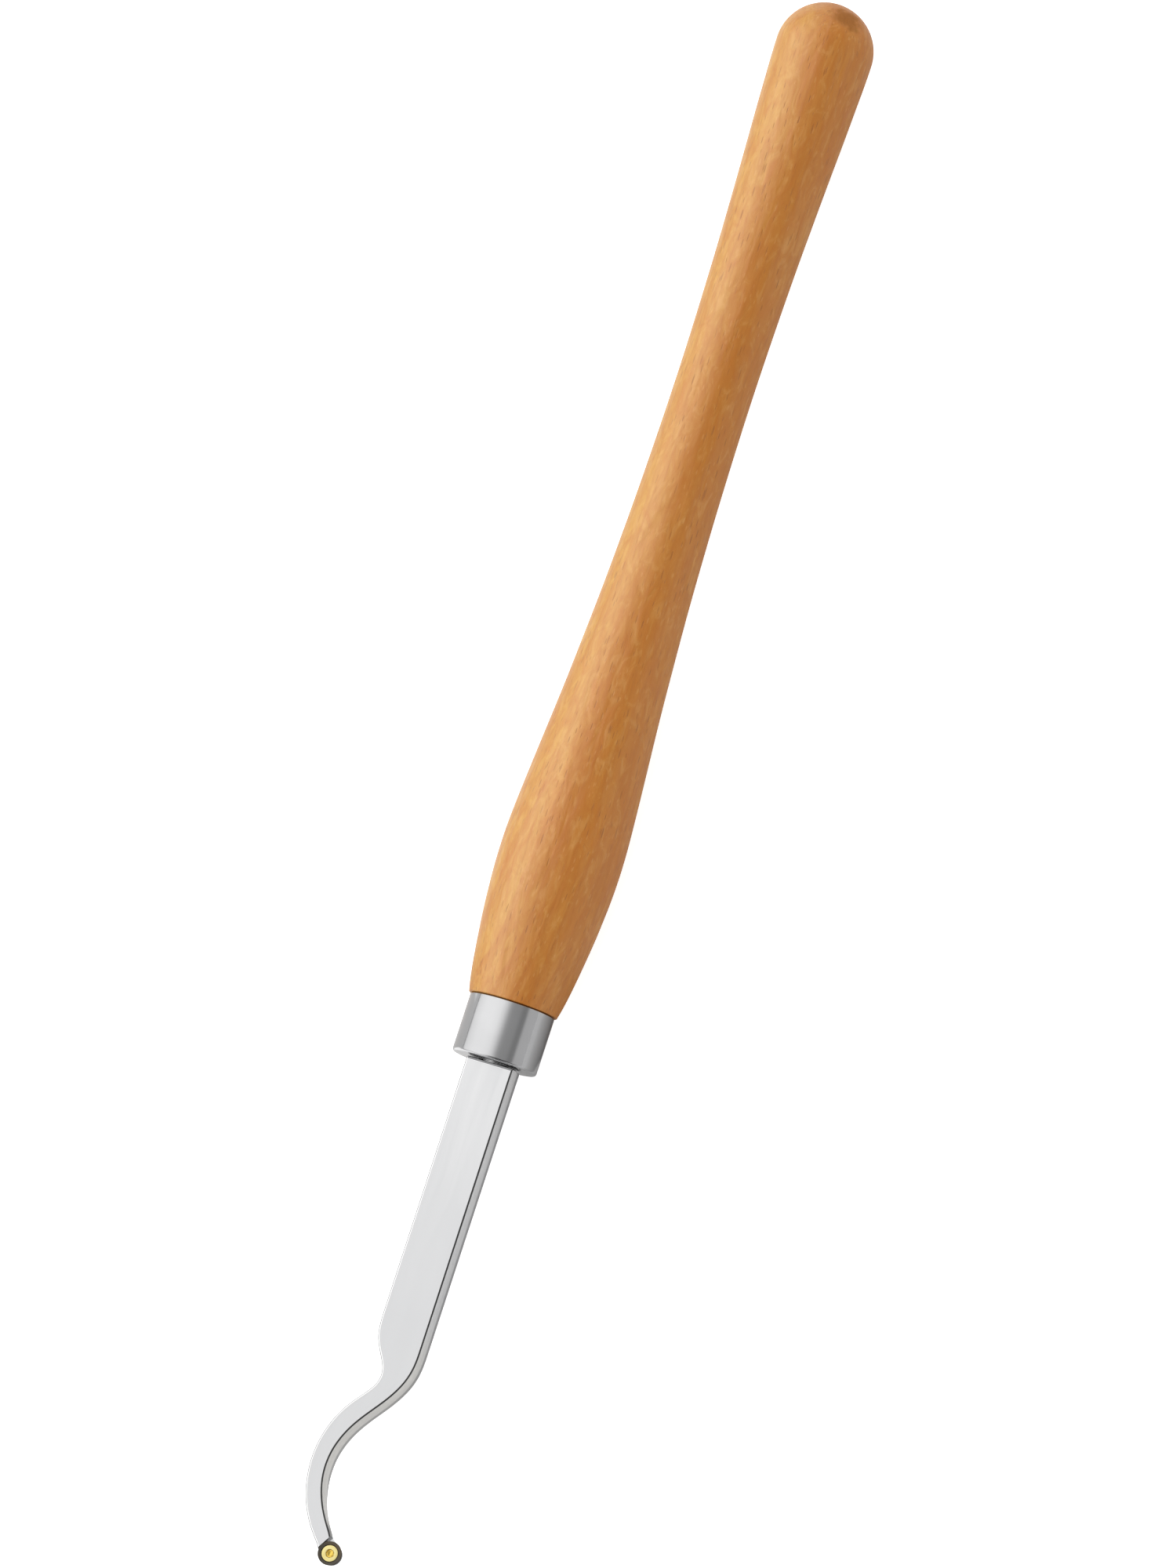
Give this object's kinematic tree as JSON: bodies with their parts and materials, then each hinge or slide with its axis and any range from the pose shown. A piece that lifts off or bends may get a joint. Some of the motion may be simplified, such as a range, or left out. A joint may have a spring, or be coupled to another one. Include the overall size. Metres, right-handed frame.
{
  "type": "hollowing tool",
  "caption": "Long woodturning hollowing tool: waisted wooden handle, steel ferrule, flat steel bar ending in a swan neck with a small round carbide cutter.",
  "frame": {"origin": "on the tool's axis, halfway between the butt of the handle and the cutting tip", "axes": "+X along the tool towards the cutting tip, +Z the outward normal of the cutting face, and the neck bends towards -Y"},
  "size_m": [0.5406, 0.0404, 0.0404],
  "materials": {
    "beech": "turned beech, satin varnish, fine dark flecks along the grain",
    "plated_steel": "nickel-plated, bright with faint turning lines",
    "polished_steel": "polished flat bar, fine lengthwise grind",
    "epoxy": "set epoxy, hidden",
    "carbide": "ground tungsten carbide, dark brownish grey",
    "gold_screw": "pale gold coated steel, bright"
  },
  "bodies": {
    "tool": {"handle": "beech", "ferrule": "plated_steel", "tool_bar": "polished_steel", "tang_bond": "epoxy"},
    "insert": {"cutter_insert": "carbide"},
    "screw": {"cutter_screw": "gold_screw"}
  },
  "joints": [
    {"name": "cutter_index", "type": "hinge", "parent": "tool", "child": "insert", "pos_m": [0.2663, 0, 0.0048], "axis": [0, 0, 1], "continuous": true},
    {"name": "screw_turn", "type": "hinge", "parent": "tool", "child": "screw", "pos_m": [0.2663, 0, 0.0058], "axis": [0, 0, 1], "range_deg": [0, 90]}
  ]
}
